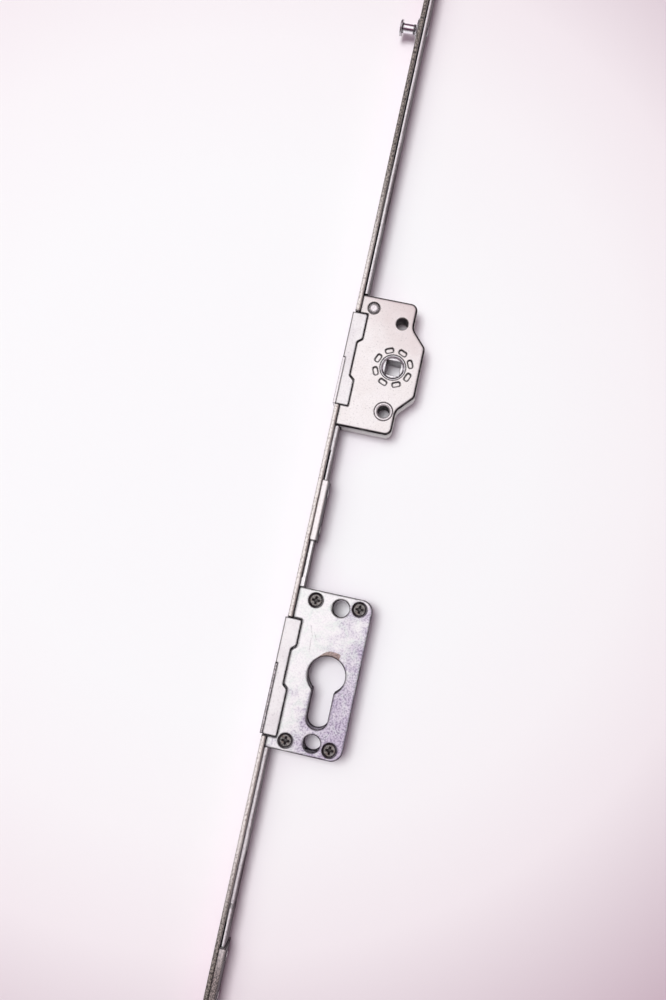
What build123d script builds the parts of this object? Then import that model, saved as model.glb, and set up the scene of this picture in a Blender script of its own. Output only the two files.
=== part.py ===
from build123d import *
import os
from dataclasses import dataclass
from math import acos, cos, pi, radians, sin, sqrt, tan

# Cremone bolt: an edge-mounted espagnolette gear with a lockable case, lying on its side.
# Frame: +Z is the spindle axis, pointing out of the covers that carry the screws.
# +Y runs along the bar, from the cylinder towards the handle gearbox.
# +X points from the faceplate into the sash, so the backset lies along X.
# The origin is on the spindle axis, halfway through the gearbox. All sizes are in millimetres.

# General sizes
overrun = 1.0                    # how far every cut runs past the surface that it opens
edge_break = 0.3                 # light rounding of cut and drawn edges
head_round_share = 0.6           # how much of a rivet head's height is rounded

# Faceplate, the bar that is seen on the edge of the sash
backset = 23.0                   # faceplate front to spindle axis
faceplate_upper_reach = 250.0    # spindle axis to the upper end
faceplate_lower_reach = 352.0    # spindle axis to the lower end
faceplate_width = 16.0
faceplate_thickness = 2.1
faceplate_back_round = 0.45
faceplate_end_radius = 3.0
faceplate_screw_end_gap = 9.0    # end of the bar to its end screw
faceplate_screw_radius = 2.25
faceplate_screw_head_radius = 4.0
faceplate_screw_rise = 100.0     # spindle axis to the middle screw above it
faceplate_screw_to_guide = 53.5  # middle screw below the lock to the lower guide

# Drive rod, the flat bar that slides behind the faceplate
rod_gap = 0.6                    # faceplate back to rod front
rod_thickness = 1.5
rod_width = 12.0
rod_neck_width = 9.0             # width where the rod runs through a case
rod_upper_reach = 206.0
rod_lower_reach = 333.0
rod_pad_thickness = 0.5          # how far the stiff stretches stand nearer to the faceplate
gear_pad_show = 12.0             # stiff stretch seen below the gearbox
lock_pad_show = 4.6              # stiff stretch seen above the lock case
lock_pad_extra = 43.4            # narrow stiff stretch below the lock case, past the travel
rod_side_gap = 0.2
serration_pitch = 2.0
serration_depth = 1.0
serration_count = 8

# Sheet cases
case_thickness = 12.0            # outside to outside, along the spindle axis
gear_sheet = 1.3
lock_sheet = 1.5
case_front_gap = 0.3             # faceplate back to the sheets, and rod back to the walls
inner_gap = 0.3                  # moving piece to the case around it
cover_edge_radius = 1.5
cover_skirt = 3.0                # height of the gearbox cover, outside

# Handle follower and rack
spindle_square = 7.0
spindle_gap = 0.1
gear_module = 1.25
gear_teeth = 14
pressure_angle = 25.0
handle_turn = 180.0              # closed, open and tilted, 90 degrees apart
backlash = 0.16
dedendum_share = 1.25            # tooth depth below the pitch line, in modules
gear_width = 5.0
rack_width = 4.8
hub_radius = 6.0
hub_bore_gap = 0.08
hub_recess = 0.3                 # hub end below the case's surface
socket_lead_radius = 5.5
socket_lead_depth = 0.8
collar_radius = 7.6
rack_overlap = 3.2               # rack left past the pitch point at each end of the travel
rack_finger_width = 4.9
rack_finger_gap = 0.8
rack_rivet_radius = 1.5
rack_rivet_head_radius = 2.4
rack_rivet_depth = 4.6           # shank in the rack
rack_rivet_count = 3
rack_rivet_end_gap = 3.4

# Gearbox outline
shoulder_reach = 5.8             # spindle axis to the back edge of the shoulders
shoulder_corner_radius = 3.4
shoulder_foot_radius = 5.0
nose_gap = 1.8                   # tooth tips to the inside of the nose
nose_half_height = 12.2
nose_run = 8.0                   # height over which the slope rises from shoulder to nose
nose_corner_radius = 3.5

# Handle screws and the gearbox's own fastenings
handle_screw_spacing = 43.0
handle_bore_radius = 2.9
bushing_wall = 1.4
bushing_gap = 0.06
bushing_chamfer = 0.5
bushing_rim_round = 0.35
case_rivet_edge = 5.9            # rivet axis to the top and front edges of the case
case_rivet_radius = 1.6
case_rivet_head_radius = 2.2
case_rivet_dish_radius = 2.9
case_rivet_dish_depth = 0.7

# Ring of pressed pockets round the hub
pocket_count = 8
pocket_circle_radius = 8.3
pocket_length = 4.0
pocket_width = 2.3
pocket_corner = 0.8
pocket_depth = 0.9

# Leaf springs that click into notches
leaf_thickness = 0.5
leaf_height = 1.5
leaf_gap = 0.12                  # leaf to its notch and to its pegs at rest
leaf_bump_half_width = 2.2
leaf_bump_rise = 1.3
leaf_tail = 1.5
peg_radius = 1.1
gear_peg_reach = 9.0             # hub axis to each peg, across
gear_peg_rise = 4.4              # collar rim to the peg axes
lock_peg_reach = 7.5
lock_peg_rise = 4.4
notch_depth = 0.6

# Saddles, the bent brackets that hold each case to the faceplate
saddle_sheet = 1.2
saddle_gap = 0.4
saddle_bend_radius = 0.9
saddle_notch_gap = 0.5           # notch in the faceplate, past each end of the saddle
saddle_bevel = 1.9
saddle_seam = 0.2
tongue_thickness = 1.3
tongue_overlap = 1.0
tongue_inset = 1.0

# Guide brackets on the back of the faceplate
guide_length = 28.8
guide_web = 0.8
guide_gap = 0.1
guide_upper_drop = 73.3          # spindle axis to the middle of the upper guide
guide_lower_drop = 288.5
guide_rivet_spacing = 18.0
guide_rivet_radius = 1.5
guide_rivet_head_radius = 2.6
guide_rivet_head_height = 0.4
rivet_slot_gap = 0.2

# Locking cam
cam_rise = 170.7                 # spindle axis to the cam, at rest
cam_head_radius = 3.9
cam_head_thickness = 1.1
cam_roller_radius = 2.4
cam_roller_length = 5.9
cam_core_radius = 1.4
cam_roller_gap = 0.05
cam_end_gap = 0.1
cam_collar_radius = 2.5
cam_washer_radius = 5.35
cam_washer_rim = 0.8
cam_washer_flare = 1.0           # radius of the hollow flare up to the roller
cam_washer_gap = 0.15
cam_rivet_radius = 1.9
cam_rivet_head_radius = 2.3
cam_rivet_head_height = 0.6

# Lock case for a profile cylinder
cylinder_drop = 147.0            # spindle axis to the cylinder's round axis
lock_case_reach = 14.7           # cylinder axis to the back edge
lock_case_half_height = 37.3
lock_corner_radius = 5.4
lock_window_half_height = 6.3
profile_radius = 8.75
profile_slot_width = 10.0
profile_height = 33.5            # top of the round to the end of the slot
profile_fillet = 0.6
lock_bolt_radius = 4.0
lock_bolt_spacing = 62.6
lock_screw_front = 12.0          # cylinder axis to the front pair of screws
lock_screw_back = 8.6
lock_screw_spacing = 65.2
lock_screw_head_radius = 3.0
lock_screw_radius = 1.5
lock_screw_length = 8.0
lock_screw_recess = 0.6          # head below the cover's face, in its countersink
lock_screw_gap = 0.05
drive_width = 0.8
drive_length = 3.6
drive_depth = 1.2
post_radius = 2.9
post_tail_radius = 1.9

# Blocking slide, moved by the cylinder's cam into a window of the rod
slide_stroke = 5.0
slide_thickness = 3.0
slide_tip_gap = 0.2              # thrown tip to faceplate back
slide_tooth_length = 3.4
slide_tooth_height = 7.0
slide_tooth_rise = 17.5          # cylinder axis to the middle of the tooth
slide_reach = 11.5
slide_bottom = 10.6
slide_top = 24.0
cam_notch_half_width = 5.5
cam_notch_rise = 5.4
cam_notch_corner = 1.8
window_gap = 0.35
guide_pin_radius = 2.0
guide_pin_gap = 0.06
guide_pin_rise = 19.6
guide_pin_front = 8.6            # cylinder axis to the front pin
guide_pin_back = 2.8
guide_pin_shoulder = 3.0
guide_pin_float = 0.1

# Places and sizes that follow
faceplate_front = -backset
faceplate_back = faceplate_front + faceplate_thickness
half_faceplate = faceplate_width / 2
rod_front = faceplate_back + rod_gap
rod_back = rod_front + rod_thickness
pad_front = rod_front - rod_pad_thickness
half_rod = rod_width / 2
half_neck = rod_neck_width / 2
half_case = case_thickness / 2
gear_inner = half_case - gear_sheet
lock_inner = half_case - lock_sheet
case_front = faceplate_back + case_front_gap
wall_front = rod_back + case_front_gap
pitch_radius = gear_module * gear_teeth / 2
tip_radius = pitch_radius + gear_module
dedendum = dedendum_share * gear_module
root_radius = pitch_radius - dedendum
tooth_pitch = pi * gear_module
travel = pitch_radius * radians(handle_turn)
rack_end = travel + rack_overlap
gear_half_height = rack_end + inner_gap + gear_sheet
nose_reach = tip_radius + nose_gap + gear_sheet
half_screw_spacing = handle_screw_spacing / 2
bushing_radius = handle_bore_radius + bushing_wall
case_rivet_x = case_front + case_rivet_edge
case_rivet_y = gear_half_height - case_rivet_edge
cylinder_y = -cylinder_drop
slot_radius = profile_slot_width / 2
slot_end = profile_height - profile_radius - slot_radius
lock_top = cylinder_y + lock_case_half_height
lock_bottom = cylinder_y - lock_case_half_height
post_rise = lock_screw_spacing / 2
slide_tip = faceplate_back + slide_tip_gap + slide_stroke
slide_shoulder = slide_tip + slide_tooth_length
washer_face = faceplate_front - cam_washer_gap
washer_top = washer_face - cam_washer_rim - cam_washer_flare
roller_end = washer_top - cam_end_gap - cam_roller_length
head_face = roller_end - cam_end_gap
bump_radius = (leaf_bump_half_width**2 + leaf_bump_rise**2) / (2 * leaf_bump_rise)
notch_radius = bump_radius + leaf_thickness / 2 + leaf_gap
leaf_wrap = peg_radius + leaf_gap + leaf_thickness / 2


@dataclass
class Saddle:
    """Where a saddle sits: all heights are measured from the axis of its case."""
    axis_y: float
    top: float
    bottom: float
    neck_top: float
    neck_bottom: float
    seam: float
    wide: float
    narrow: float


gear_saddle_top = 22.8
gear_saddle_bottom = 22.1
gear_saddle_neck_top = 8.9
gear_saddle_neck_bottom = 7.9
gear_saddle_seam = 0.5
gear_saddle_wide = 6.0           # faceplate front to the back edge of the leg
gear_saddle_narrow = 3.7
lock_saddle_top = 22.3
lock_saddle_bottom = 31.7
lock_saddle_neck_top = 8.6
lock_saddle_neck_bottom = 8.1
lock_saddle_seam = 0.9
lock_saddle_wide = 6.5
lock_saddle_narrow = 4.3

gear_saddle = Saddle(0, gear_saddle_top, gear_saddle_bottom, gear_saddle_neck_top,
                     gear_saddle_neck_bottom, gear_saddle_seam, gear_saddle_wide,
                     gear_saddle_narrow)
lock_saddle = Saddle(cylinder_y, lock_saddle_top, lock_saddle_bottom, lock_saddle_neck_top,
                     lock_saddle_neck_bottom, lock_saddle_seam, lock_saddle_wide,
                     lock_saddle_narrow)


# Plain solids placed by their limits

def block(x, y, z):
    """A box between the limits given as pairs."""
    centre = Pos((x[0] + x[1]) / 2, (y[0] + y[1]) / 2, (z[0] + z[1]) / 2)
    return centre * Box(abs(x[1] - x[0]), abs(y[1] - y[0]), abs(z[1] - z[0]))


def rod_z(x, y, radius, z):
    """A round bar along Z."""
    return Pos(x, y, (z[0] + z[1]) / 2) * Cylinder(radius, abs(z[1] - z[0]))


def rod_x(y, z, radius, x):
    """A round bar along X."""
    bar = Rot(0, 90, 0) * Cylinder(radius, abs(x[1] - x[0]))
    return Pos((x[0] + x[1]) / 2, y, z) * bar


def cone_z(x, y, radii, z):
    """A cone along Z, with its radius at each of the two heights."""
    low, high = (0, 1) if z[0] < z[1] else (1, 0)
    cone = Cone(radii[low], radii[high], abs(z[1] - z[0]))
    return Pos(x, y, (z[0] + z[1]) / 2) * cone


def cone_x(y, z, radii, x):
    """A cone along X, with its radius at each of the two places."""
    low, high = (0, 1) if x[0] < x[1] else (1, 0)
    cone = Rot(0, 90, 0) * Cone(radii[low], radii[high], abs(x[1] - x[0]))
    return Pos((x[0] + x[1]) / 2, y, z) * cone


def outline(points, radii):
    """A face inside straight runs whose corners are rounded one by one."""
    return make_face(FilletPolyline(*points, radius=radii, close=True))


def plate(face, z):
    """A face in the XY plane made solid between two heights."""
    return Pos(0, 0, z[0]) * extrude(face, abs(z[1] - z[0]), dir=(0, 0, 1))


def slot_along_y(y, width, x):
    """A slot with round ends, cut through along X."""
    length = abs(y[1] - y[0])
    middle = block(x, y, (-width / 2, width / 2))
    ends = [rod_x(end, 0, width / 2, x) for end in y]
    return middle + ends if length else ends[0]


def mirrored(solid):
    """The same solid on the other side of the mid-plane."""
    return solid.mirror(Plane.XY)


def near(value, wanted):
    return abs(value - wanted) < edge_break / 10


# Bar

def saddle_notches(saddle):
    """Steps in both long edges of the faceplate, where a saddle's legs pass over."""
    low = saddle.axis_y - saddle.bottom - saddle_notch_gap
    high = saddle.axis_y + saddle.top + saddle_notch_gap
    x = (faceplate_front - overrun, faceplate_back + overrun)
    upper = block(x, (low, high), (half_case - saddle_sheet, half_faceplate + overrun))
    return [upper, mirrored(upper)]


def countersunk_bore(y, radius, head_radius):
    """A screw or rivet hole through the faceplate, sunk from the front."""
    depth = head_radius - radius
    bore = rod_x(y, 0, radius, (faceplate_front - overrun, faceplate_back + overrun))
    sink = cone_x(y, 0, (head_radius + overrun, radius),
                  (faceplate_front - overrun, faceplate_front + depth))
    return [bore, sink]


def guide_rivet_places():
    for drop in (guide_upper_drop, guide_lower_drop):
        for side in (-0.5, 0.5):
            yield -drop + side * guide_rivet_spacing


def faceplate_screw_places():
    return (faceplate_upper_reach - faceplate_screw_end_gap, faceplate_screw_rise,
            faceplate_screw_to_guide - guide_lower_drop,
            faceplate_screw_end_gap - faceplate_lower_reach)


def make_faceplate():
    y = (-faceplate_lower_reach, faceplate_upper_reach)
    bar = block((faceplate_front, faceplate_back), y, (-half_faceplate, half_faceplate))
    bar = fillet(bar.edges().filter_by(Axis.X), faceplate_end_radius)
    long_edges = bar.edges().filter_by(Axis.Y)
    bar = fillet(long_edges.group_by(Axis.X)[-1], faceplate_back_round)
    bar = fillet(bar.edges().filter_by(Axis.Y).group_by(Axis.X)[0], edge_break)
    cuts = saddle_notches(gear_saddle) + saddle_notches(lock_saddle)
    for place in faceplate_screw_places():
        cuts += countersunk_bore(place, faceplate_screw_radius, faceplate_screw_head_radius)
    for place in guide_rivet_places():
        cuts += countersunk_bore(place, guide_rivet_radius, guide_rivet_head_radius)
    cam_path = (cam_rise, cam_rise + travel)
    cuts.append(slot_along_y(cam_path, 2 * cam_collar_radius + 2 * rod_side_gap,
                             (faceplate_front - overrun, faceplate_back + overrun)))
    return bar - cuts


def serrations(end_y, inward):
    """Small notches in both edges near an end, for joining a further rod."""
    side = serration_depth * sqrt(2)
    for count in range(serration_count):
        y = end_y + inward * serration_pitch * (count + 1)
        for z in (-half_rod, half_rod):
            wedge = Rot(45, 0, 0) * Box(rod_thickness + 2 * overrun, side, side)
            yield Pos((rod_front + rod_back) / 2, y, z) * wedge


def rod_windows():
    """Windows that take the blocking slide with the handle closed, open and tilted."""
    half_height = slide_tooth_height / 2 + window_gap
    half_width = slide_thickness / 2 + window_gap
    for share in (0, 0.5, 1):
        y = cylinder_y + slide_tooth_rise - share * travel
        yield block((pad_front - overrun, rod_back + overrun),
                    (y - half_height, y + half_height), (-half_width, half_width))


def neck_cuts(top, bottom):
    """Material taken off both edges where the rod runs through a case.

    The upper end is a square step and the lower end is a slope.
    """
    slope = half_rod + overrun - half_neck
    points = [(top, half_rod + overrun), (top, half_neck), (bottom, half_neck),
              (bottom - slope, half_rod + overrun)]
    face = Plane.YZ * make_face(Polyline(*points, close=True))
    cut = extrude(face, backset, both=True)
    return [cut, mirrored(cut)]


def make_drive_rod():
    y = (-rod_lower_reach, rod_upper_reach)
    rod = block((rod_front, rod_back), y, (-half_rod, half_rod))
    gear_pad = (-gear_half_height - gear_pad_show, gear_half_height - inner_gap)
    lock_pad_end = lock_bottom - travel - rod_side_gap - lock_pad_extra
    lock_pad = (lock_pad_end, lock_top + lock_pad_show)
    for pad in (gear_pad, lock_pad):
        rod += block((pad_front, rod_back), pad, (-half_rod, half_rod))
    clear = rod_side_gap
    cuts = neck_cuts(gear_half_height + clear, -gear_half_height - travel - clear)
    cuts += neck_cuts(lock_top + clear, lock_pad_end)
    cuts += list(serrations(rod_upper_reach, -1))
    cuts += list(serrations(-rod_lower_reach, 1))
    cuts += list(rod_windows())
    through = (pad_front - overrun, rod_back + overrun)
    for place in faceplate_screw_places()[1:3]:
        cuts.append(slot_along_y((place - travel, place),
                                 2 * faceplate_screw_radius + 4 * rod_side_gap, through))
    rivet_slot = 2 * (guide_rivet_radius + rivet_slot_gap)
    for place in guide_rivet_places():
        cuts.append(slot_along_y((place - travel, place), rivet_slot, through))
    cuts.append(rod_x(cam_rise, 0, cam_rivet_radius, through))
    for place in rack_rivet_places():
        cuts += rack_rivet_tools(place)
    return rod - cuts


def make_rod_guide(drop):
    """A channel over the rod, with its two feet on the back of the faceplate."""
    y = (-drop - guide_length / 2, -drop + guide_length / 2)
    back = rod_back + guide_gap + guide_web
    inner = half_rod + rod_side_gap
    body = block((faceplate_back, back), y, (-half_faceplate, half_faceplate))
    outer_edges = body.edges().filter_by(Axis.Y).group_by(Axis.X)[-1]
    body = fillet(outer_edges, edge_break)
    body -= block((faceplate_back - overrun, rod_back + guide_gap),
                  (y[0] - overrun, y[1] + overrun), (-inner, inner))
    for side in (-0.5, 0.5):
        body -= rod_x(-drop + side * guide_rivet_spacing, 0, guide_rivet_radius,
                      (faceplate_back, back + overrun))
    return body


def make_guide_rivets():
    back = rod_back + guide_gap + guide_web
    rivets = []
    for y in guide_rivet_places():
        depth = guide_rivet_head_radius - guide_rivet_radius
        shank = rod_x(y, 0, guide_rivet_radius, (faceplate_front, back))
        sunk = cone_x(y, 0, (guide_rivet_head_radius, guide_rivet_radius),
                      (faceplate_front, faceplate_front + depth))
        head = rod_x(y, 0, guide_rivet_head_radius, (back, back + guide_rivet_head_height))
        rim = head.edges().group_by(Axis.X)[-1]
        rivets.append(shank + sunk + fillet(rim, guide_rivet_head_height * head_round_share))
    return rivets


# Locking cam

def make_cam_stud():
    """Stud riveted to the rod, with the collar that slides in the faceplate's slot."""
    rivet = rod_x(cam_rise, 0, cam_rivet_radius, (rod_front, rod_back))
    tail = rod_x(cam_rise, 0, cam_rivet_head_radius,
                 (rod_back, rod_back + cam_rivet_head_height))
    tail = fillet(tail.edges().group_by(Axis.X)[-1], cam_rivet_head_height * head_round_share)
    collar = rod_x(cam_rise, 0, cam_collar_radius, (washer_face, rod_front))
    core = rod_x(cam_rise, 0, cam_core_radius, (head_face, washer_face))
    head = rod_x(cam_rise, 0, cam_head_radius, (head_face - cam_head_thickness, head_face))
    head = fillet(head.edges().filter_by(GeomType.CIRCLE), edge_break)
    return rivet + tail + collar + core + head


def make_cam_washer():
    """Washer that covers the slot: a flat rim with a hollow flare up to the roller."""
    rim_face = washer_face - cam_washer_rim
    flare_foot = cam_roller_radius + cam_washer_flare
    middle = cam_washer_flare * sin(pi / 4)
    profile = [Line((washer_face, cam_core_radius), (washer_top, cam_core_radius)),
               Line((washer_top, cam_core_radius), (washer_top, cam_roller_radius)),
               ThreePointArc((washer_top, cam_roller_radius),
                             (washer_top + middle, flare_foot - middle), (rim_face, flare_foot)),
               Line((rim_face, flare_foot), (rim_face, cam_washer_radius)),
               Line((rim_face, cam_washer_radius), (washer_face, cam_washer_radius)),
               Line((washer_face, cam_washer_radius), (washer_face, cam_core_radius))]
    washer = revolve(make_face(profile), Axis.X)
    rim = [edge for edge in washer.edges().filter_by(GeomType.CIRCLE)
           if near(edge.radius, cam_washer_radius)]
    return Pos(0, cam_rise, 0) * fillet(rim, edge_break)


def make_cam_roller():
    start = washer_top - cam_end_gap
    sleeve = rod_x(cam_rise, 0, cam_roller_radius, (roller_end, start))
    bore = rod_x(cam_rise, 0, cam_core_radius + cam_roller_gap,
                 (roller_end - overrun, start + overrun))
    return sleeve - bore


# Saddles

def leg_outline(saddle, grow, left):
    """The waisted leg, drawn in the XY plane. It grows by a gap for the case's cut-out."""
    top = saddle.axis_y + saddle.top + grow
    bottom = saddle.axis_y - saddle.bottom - grow
    wide = faceplate_front + saddle.wide + grow
    narrow = faceplate_front + saddle.narrow + grow
    neck_top = saddle.axis_y + saddle.neck_top - grow
    neck_bottom = saddle.axis_y - saddle.neck_bottom + grow
    points = [(left, top), (wide, top), (wide, neck_top + saddle_bevel), (narrow, neck_top),
              (narrow, neck_bottom), (wide, neck_bottom - saddle_bevel), (wide, bottom),
              (left, bottom)]
    return outline(points, [0, edge_break, edge_break, edge_break,
                            edge_break, edge_break, edge_break, 0])


def make_saddle_half(saddle, upper_tab):
    """One L-shaped half: a leg on the case side and a tab down the faceplate's front."""
    inner = half_case - saddle_sheet
    front = faceplate_front - saddle_sheet
    seam = saddle.axis_y + saddle.seam
    top = saddle.axis_y + saddle.top
    bottom = saddle.axis_y - saddle.bottom
    if upper_tab:
        span = (seam + saddle_seam / 2, top)
    else:
        span = (bottom, seam - saddle_seam / 2)
    leg = plate(leg_outline(saddle, 0, faceplate_front), (inner, half_case))
    tab = block((front, faceplate_front), span, (-half_case, half_case))
    bend = tab.edges().filter_by(Axis.Y).group_by(Axis.X)[0].sort_by(Axis.Z)[-1]
    return leg + fillet(bend, saddle_bend_radius)


def tongue(saddle, low, high, inner):
    """A joggled tongue of the case's sheet, welded under one wide end of a leg."""
    top_face = half_case - saddle_sheet
    x = (wall_front, faceplate_front + saddle.wide + saddle_gap + tongue_overlap)
    y = (saddle.axis_y + low, saddle.axis_y + high)
    return block(x, y, (min(inner, top_face) - tongue_thickness, top_face))


def with_saddle_seat(body, saddle, inner, upper):
    """Cuts the leg's place out of a case sheet and adds the two tongues under it."""
    leg = plate(leg_outline(saddle, saddle_gap, faceplate_front - overrun),
                (half_case - saddle_sheet, half_case + overrun))
    wide_top = saddle.neck_top + saddle_bevel + tongue_inset
    wide_bottom = -saddle.neck_bottom - saddle_bevel - tongue_inset
    sheet_cut = plate(leg_outline(saddle, saddle_gap, faceplate_front - overrun),
                      (inner - overrun, half_case + overrun))
    tongues = [tongue(saddle, wide_top, saddle.top - tongue_inset, inner),
               tongue(saddle, tongue_inset - saddle.bottom, wide_bottom, inner)]
    if not upper:
        leg, sheet_cut = mirrored(leg), mirrored(sheet_cut)
        tongues = [mirrored(piece) for piece in tongues]
    return body - sheet_cut + tongues


# Handle gearbox

def gearbox_outline():
    """Case outline: tall shoulders at the front and a nose round the hub at the back."""
    h = gear_half_height
    foot = nose_half_height + nose_run
    upper = [(case_front, h), (shoulder_reach, h), (shoulder_reach, foot),
             (nose_reach, nose_half_height)]
    lower = [(x, -y) for x, y in reversed(upper)]
    radii = [0, shoulder_corner_radius, shoulder_foot_radius, nose_corner_radius]
    return outline(upper + lower, radii + radii[::-1])


def handle_places():
    return (half_screw_spacing, -half_screw_spacing)


def gearbox_shell(z_open, z_closed):
    """A drawn shell, open towards the seam, with a rounded rim on its closed side."""
    face = gearbox_outline()
    low, high = min(z_open, z_closed), max(z_open, z_closed)
    body = plate(face, (low, high))
    closed = body.faces().filter_by(Axis.Z).sort_by(Axis.Z)[0 if z_closed < z_open else -1]
    rim = [edge for edge in closed.edges() if not near(edge.center().X, case_front)]
    body = fillet(rim, cover_edge_radius)
    inner_face = gear_inner if z_closed > 0 else -gear_inner
    hollow = plate(offset(face, -gear_sheet), (min(z_open, inner_face), max(z_open, inner_face)))
    x = (case_front - overrun, wall_front)
    y = (-gear_half_height - overrun, gear_half_height + overrun)
    mouth = block(x, y, (z_open, inner_face))
    side = block((wall_front - overrun, wall_front + gear_sheet + overrun),
                 (-gear_half_height + gear_sheet, gear_half_height - gear_sheet),
                 (z_open, inner_face))
    return body - hollow - mouth - side


def gearbox_bores(z):
    """Openings that both shells share: hub, handle screws and rivet."""
    bores = [rod_z(0, 0, hub_radius + hub_bore_gap, z)]
    upper, lower = handle_places()
    bores.append(rod_z(0, upper, handle_bore_radius, z))
    bores.append(rod_z(0, lower, bushing_radius + bushing_gap, z))
    bores.append(rod_z(case_rivet_x, case_rivet_y, case_rivet_radius, z))
    return bores


def rivet_dish(upper):
    z = (half_case - case_rivet_dish_depth, half_case + overrun)
    dish = rod_z(case_rivet_x, case_rivet_y, case_rivet_dish_radius, z)
    return dish if upper else mirrored(dish)


def pockets():
    """Shallow pressed pockets on a circle round the hub, half a step off the bar's axis."""
    shape = outline([(-pocket_length / 2, -pocket_width / 2), (pocket_length / 2, -pocket_width / 2),
                     (pocket_length / 2, pocket_width / 2), (-pocket_length / 2, pocket_width / 2)],
                    pocket_corner)
    tool = plate(shape, (half_case - pocket_depth, half_case + overrun))
    for count in range(pocket_count):
        angle = 360 / pocket_count * (count + 0.5)
        yield Rot(0, 0, angle) * (Pos(0, pocket_circle_radius, 0) * tool)


def gear_pegs():
    rise = collar_radius + gear_peg_rise
    return ((-gear_peg_reach, rise), (gear_peg_reach, rise))


def make_gearbox_cover():
    seam = half_case - cover_skirt
    cover = gearbox_shell(seam, half_case)
    cover = with_saddle_seat(cover, gear_saddle, gear_inner, True)
    low = gear_inner - inner_gap / 2 - leaf_height - inner_gap
    for x, y in gear_pegs():
        cover += rod_z(x, y, peg_radius, (low, gear_inner))
    cuts = gearbox_bores((gear_inner - overrun, half_case + overrun))
    cuts.append(rivet_dish(True))
    cuts += list(pockets())
    return cover - cuts


def make_gearbox_case():
    seam = half_case - cover_skirt
    case = gearbox_shell(seam, -half_case)
    case = with_saddle_seat(case, gear_saddle, gear_inner, False)
    cuts = gearbox_bores((-half_case - overrun, -gear_inner + overrun))
    cuts.append(rivet_dish(False))
    return case - cuts


def make_gearbox_rivet():
    """Rivet through both shells, its two heads lying in their dishes."""
    dish = half_case - case_rivet_dish_depth
    shank = rod_z(case_rivet_x, case_rivet_y, case_rivet_radius, (-dish, dish))
    head = rod_z(case_rivet_x, case_rivet_y, case_rivet_head_radius, (dish, half_case))
    head = fillet(head.edges().group_by(Axis.Z)[-1], edge_break)
    return shank + head + mirrored(head)


def make_bushing_lower():
    """Tubular rivet round the lower handle screw, seen as a ring in both faces."""
    y = handle_places()[1]
    tube = rod_z(0, y, bushing_radius, (-half_case, half_case))
    bore = rod_z(0, y, handle_bore_radius, (-half_case - overrun, half_case + overrun))
    tube = fillet(tube.edges().filter_by(GeomType.CIRCLE), bushing_rim_round) - bore
    rims = tube.edges().filter_by(GeomType.CIRCLE)
    return chamfer([edge for edge in rims if near(edge.radius, handle_bore_radius)],
                   bushing_chamfer)


def make_bushing_upper():
    """Spacer tube between the shells, round the upper handle screw."""
    y = handle_places()[0]
    tube = rod_z(0, y, bushing_radius, (-gear_inner, gear_inner))
    return tube - rod_z(0, y, handle_bore_radius, (-half_case, half_case))


def involute(angle):
    return tan(angle) - angle


def gear_outline():
    """Toothed outline with involute flanks, one tooth pointing along -X."""
    alpha = radians(pressure_angle)
    base = pitch_radius * cos(alpha)
    half_at_pitch = (tooth_pitch / 2 - backlash) / 2 / pitch_radius
    flank_radii = [base + (tip_radius - base) * share for share in (0, 0.3, 0.65, 1)]
    half_angles = [half_at_pitch + involute(alpha) - involute(acos(base / r)) for r in flank_radii]

    def at(radius, angle):
        return (radius * cos(angle), radius * sin(angle))

    edges = []
    for tooth in range(gear_teeth):
        axis = pi + 2 * pi * tooth / gear_teeth
        following = axis + 2 * pi / gear_teeth
        rising = [at(r, axis - half) for r, half in zip(flank_radii, half_angles)]
        falling = [at(r, axis + half) for r, half in zip(flank_radii, half_angles)]
        foot = half_angles[0]
        edges.append(Line(at(root_radius, axis - foot), rising[0]))
        edges.append(Spline(*rising))
        edges.append(ThreePointArc(rising[-1], at(tip_radius, axis), falling[-1]))
        edges.append(Spline(*falling[::-1]))
        edges.append(Line(falling[0], at(root_radius, axis + foot)))
        middle = (axis + following) / 2
        edges.append(ThreePointArc(at(root_radius, axis + foot), at(root_radius, middle),
                                   at(root_radius, following - foot)))
    return make_face(edges)


def notch_tools(z):
    """Three round notches a quarter turn apart, for the closed, open and tilted handle."""
    reach = collar_radius - notch_depth + notch_radius
    for count in range(3):
        angle = radians(90 + 90 * count)
        yield rod_z(reach * cos(angle), reach * sin(angle), notch_radius, z)


def make_follower():
    """Hub with the spindle's square socket, a pinion and the notched collar."""
    rim_face = gear_width / 2
    rim = plate(gear_outline(), (-rim_face, rim_face))
    collar = rod_z(0, 0, collar_radius, (rim_face, gear_inner - inner_gap))
    notched = collar - list(notch_tools((rim_face - overrun, half_case)))
    hub_face = half_case - hub_recess
    hub = rod_z(0, 0, hub_radius, (-hub_face, hub_face))
    body = rim + notched + mirrored(collar) + hub
    half = (spindle_square + spindle_gap) / 2
    body -= block((-half, half), (-half, half), (-half_case, half_case))
    lead = cone_z(0, 0, (socket_lead_radius - socket_lead_depth, socket_lead_radius),
                  (hub_face - socket_lead_depth, hub_face))
    return body - [lead, mirrored(lead)]


def rack_rivet_places():
    """Rivets spread along the full-width body of the rack, at rest."""
    low = -rack_end + rack_rivet_end_gap
    high = rack_shoulder() - rack_rivet_end_gap
    step = (high - low) / (rack_rivet_count - 1)
    return [low + step * count for count in range(rack_rivet_count)]


def rack_shoulder():
    """Where the rack narrows so that its raised end passes the case's rivet."""
    return case_rivet_y - case_rivet_radius - rack_finger_gap - travel


def rack_rivet_tools(y):
    depth = rack_rivet_head_radius - rack_rivet_radius
    shank = rod_x(y, 0, rack_rivet_radius, (pad_front, rod_back + rack_rivet_depth))
    head = cone_x(y, 0, (rack_rivet_head_radius, rack_rivet_radius),
                  (pad_front, pad_front + depth))
    return [shank, head]


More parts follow.
